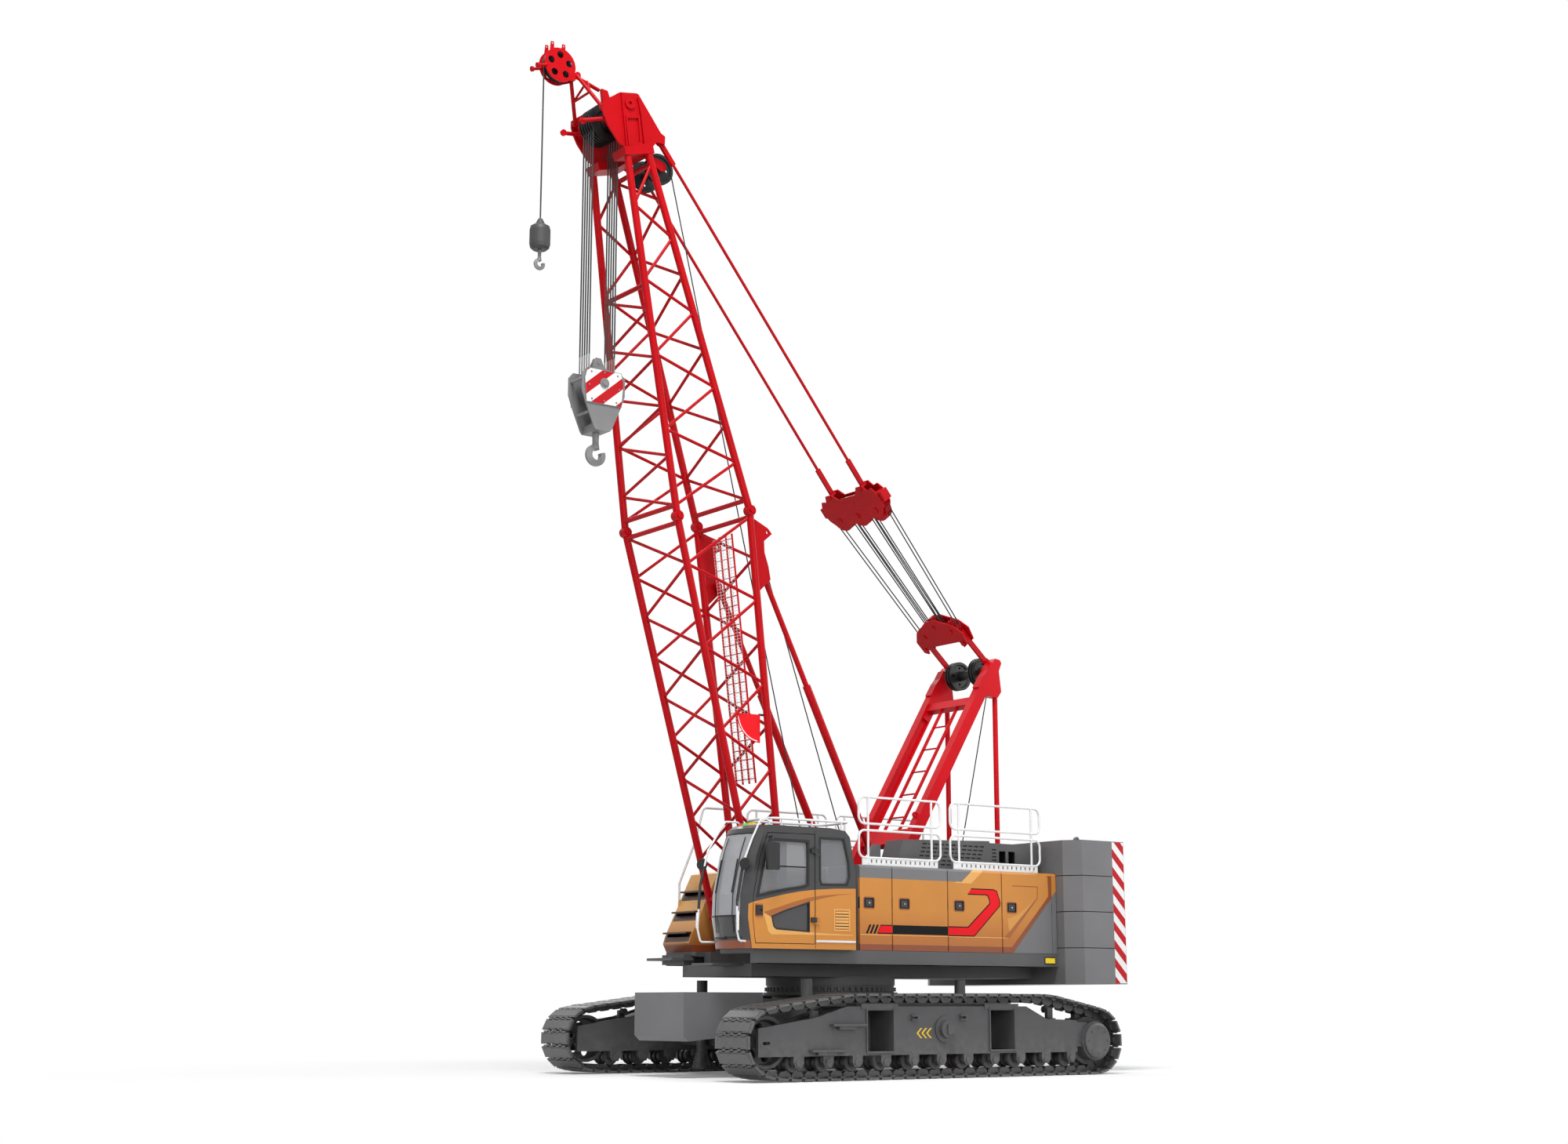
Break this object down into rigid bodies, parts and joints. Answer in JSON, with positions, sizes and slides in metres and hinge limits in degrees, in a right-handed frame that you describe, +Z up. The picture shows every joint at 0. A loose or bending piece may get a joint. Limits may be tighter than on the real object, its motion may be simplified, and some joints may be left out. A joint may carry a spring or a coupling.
{
  "type": "crawler crane",
  "caption": "Lattice-boom crawler crane: tracked carbody, slewing upperworks with cab, machine houses, counterweight slabs, gantry, lattice boom, boom-tip runner, hook block and ball hook.",
  "frame": {"origin": "on the ground, on the slewing axis", "axes": "+X forward, towards the boom; +Y to the operator's left; +Z up"},
  "size_m": [10.2435, 5.52, 15.505],
  "materials": {
    "red_paint": "red paint",
    "amber_paint": "amber paint",
    "grey_paint": "grey paint",
    "dark_paint": "dark paint",
    "track_steel": "track steel",
    "black_steel": "black steel",
    "hook_steel": "hook steel",
    "white_paint": "white paint",
    "cab_glass": "cab glass",
    "black_plastic": "black plastic"
  },
  "bodies": {
    "undercarriage": {"carbody": "dark_paint", "carbody_weights": "grey_paint", "corner_jacks": "dark_paint", "slew_ring": "dark_paint", "track_left": "track_steel", "side_frame_left": "dark_paint", "rollers_left": "dark_paint", "track_right": "track_steel", "side_frame_right": "dark_paint", "rollers_right": "dark_paint", "idlers": "dark_paint", "final_drives": "dark_paint"},
    "upperworks": {"revolving_frame": "grey_paint", "machine_house_left": "grey_paint", "side_panels_left": "amber_paint", "machine_house_right": "grey_paint", "side_panels_right": "amber_paint", "handrails": "white_paint", "engine_hood": "grey_paint", "engine_block": "dark_paint", "stair_housing": "amber_paint", "counterweight": "grey_paint", "gantry": "red_paint", "cab_shell": "amber_paint", "cab_glass": "cab_glass", "cab_interior": "black_plastic"},
    "door": {"cab_door": "amber_paint"},
    "boom": {"boom_base": "red_paint", "boom_top": "red_paint", "boom_head": "red_paint", "aux_jib": "red_paint", "boom_walkway": "red_paint"},
    "head_wheels": {"head_sheaves": "black_steel"},
    "guide_wheels": {"guide_sheaves": "black_steel"},
    "jib_wheel": {"jib_sheave": "black_steel"},
    "main_block": {"hook_block": "hook_steel"},
    "main_hook_body": {"main_hook": "hook_steel"},
    "ball": {"aux_ball": "hook_steel"},
    "aux_hook_body": {"aux_hook": "hook_steel"},
    "pendant_lines": {"pendants": "red_paint"},
    "bail_body": {"luffing_bail": "red_paint"},
    "gantry_wheels": {"gantry_sheaves": "black_steel"},
    "stop_tube": {"backstop_tubes": "red_paint"},
    "stop_rod": {"backstop_rods": "red_paint"},
    "drum_main": {"main_drum": "dark_paint"},
    "drum_aux": {"aux_drum": "dark_paint"},
    "drum_luffing": {"luffing_drum": "dark_paint"}
  },
  "joints": [
    {"name": "slew", "type": "hinge", "parent": "undercarriage", "child": "upperworks", "pos_m": [0, 0, 1.33], "axis": [0, 0, 1], "continuous": true},
    {"name": "cab_door_hinge", "type": "hinge", "parent": "upperworks", "child": "door", "pos_m": [1.522, 1.632, 2.7], "axis": [0, 0, 1], "range_deg": [0, 75]},
    {"name": "boom_luff", "type": "hinge", "parent": "upperworks", "child": "boom", "pos_m": [1.52, 0, 2.05], "axis": [0, 1, 0], "range_deg": [-4, 45]},
    {"name": "head_sheaves_turn", "type": "hinge", "parent": "boom", "child": "head_wheels", "pos_m": [4.42, 0, 14.4], "axis": [0, 1, 0], "continuous": true},
    {"name": "guide_sheaves_turn", "type": "hinge", "parent": "boom", "child": "guide_wheels", "pos_m": [3.48, 0, 13.84], "axis": [0, 1, 0], "continuous": true},
    {"name": "jib_sheave_turn", "type": "hinge", "parent": "boom", "child": "jib_wheel", "pos_m": [5.225, 0, 15.16], "axis": [0, 1, 0], "continuous": true},
    {"name": "main_block_hang", "type": "hinge", "parent": "boom", "child": "main_block", "pos_m": [4.42, 0, 14.4], "axis": [0, 1, 0], "range_deg": [-46, 5]},
    {"name": "main_hook_swivel", "type": "hinge", "parent": "main_block", "child": "main_hook_body", "pos_m": [4.42, 0, 9.4], "axis": [0, 0, 1], "continuous": true},
    {"name": "aux_ball_hang", "type": "hinge", "parent": "boom", "child": "ball", "pos_m": [5.225, 0, 15.16], "axis": [0, 1, 0], "range_deg": [-46, 5]},
    {"name": "aux_hook_swivel", "type": "hinge", "parent": "ball", "child": "aux_hook_body", "pos_m": [5.4598, 0, 12.1], "axis": [0, 0, 1], "continuous": true},
    {"name": "pendant_swing", "type": "hinge", "parent": "boom", "child": "pendant_lines", "pos_m": [3.6, 0, 14.2], "axis": [0, 1, 0], "range_deg": [-5.5, 1.4]},
    {"name": "bail_swing", "type": "hinge", "parent": "upperworks", "child": "bail_body", "pos_m": [-2.93, 0, 6.62], "axis": [0, 1, 0], "range_deg": [-4.52, 40.6]},
    {"name": "gantry_sheaves_turn", "type": "hinge", "parent": "upperworks", "child": "gantry_wheels", "pos_m": [-2.98, 0, 6.47], "axis": [0, 1, 0], "continuous": true},
    {"name": "backstop_swing", "type": "hinge", "parent": "upperworks", "child": "stop_tube", "pos_m": [-0.34, 0, 3.4], "axis": [0, 1, 0], "range_deg": [-4.68, 42.4]},
    {"name": "backstop_slide", "type": "slide", "parent": "stop_tube", "child": "stop_rod", "axis": [0.4506, 0, 0.8927], "range_m": [-0.174, 1.757]},
    {"name": "main_drum_turn", "type": "hinge", "parent": "upperworks", "child": "drum_main", "pos_m": [0.62, 0, 2.3], "axis": [0, 1, 0], "continuous": true},
    {"name": "aux_drum_turn", "type": "hinge", "parent": "upperworks", "child": "drum_aux", "pos_m": [-0.62, 0, 2.3], "axis": [0, 1, 0], "continuous": true},
    {"name": "luffing_drum_turn", "type": "hinge", "parent": "upperworks", "child": "drum_luffing", "pos_m": [-2.15, 0, 2.3], "axis": [0, 1, 0], "continuous": true}
  ],
  "couplings": [
    {"joint": "main_block_hang", "follows": "boom_luff", "ratio": -1},
    {"joint": "aux_ball_hang", "follows": "boom_luff", "ratio": -1},
    {"joint": "pendant_swing", "follows": "boom_luff", "ratio": -0.1},
    {"joint": "bail_swing", "follows": "boom_luff", "ratio": 0.88},
    {"joint": "backstop_swing", "follows": "boom_luff", "ratio": 0.92},
    {"joint": "backstop_slide", "follows": "boom_luff", "m_per_rad": 2.2116}
  ]
}
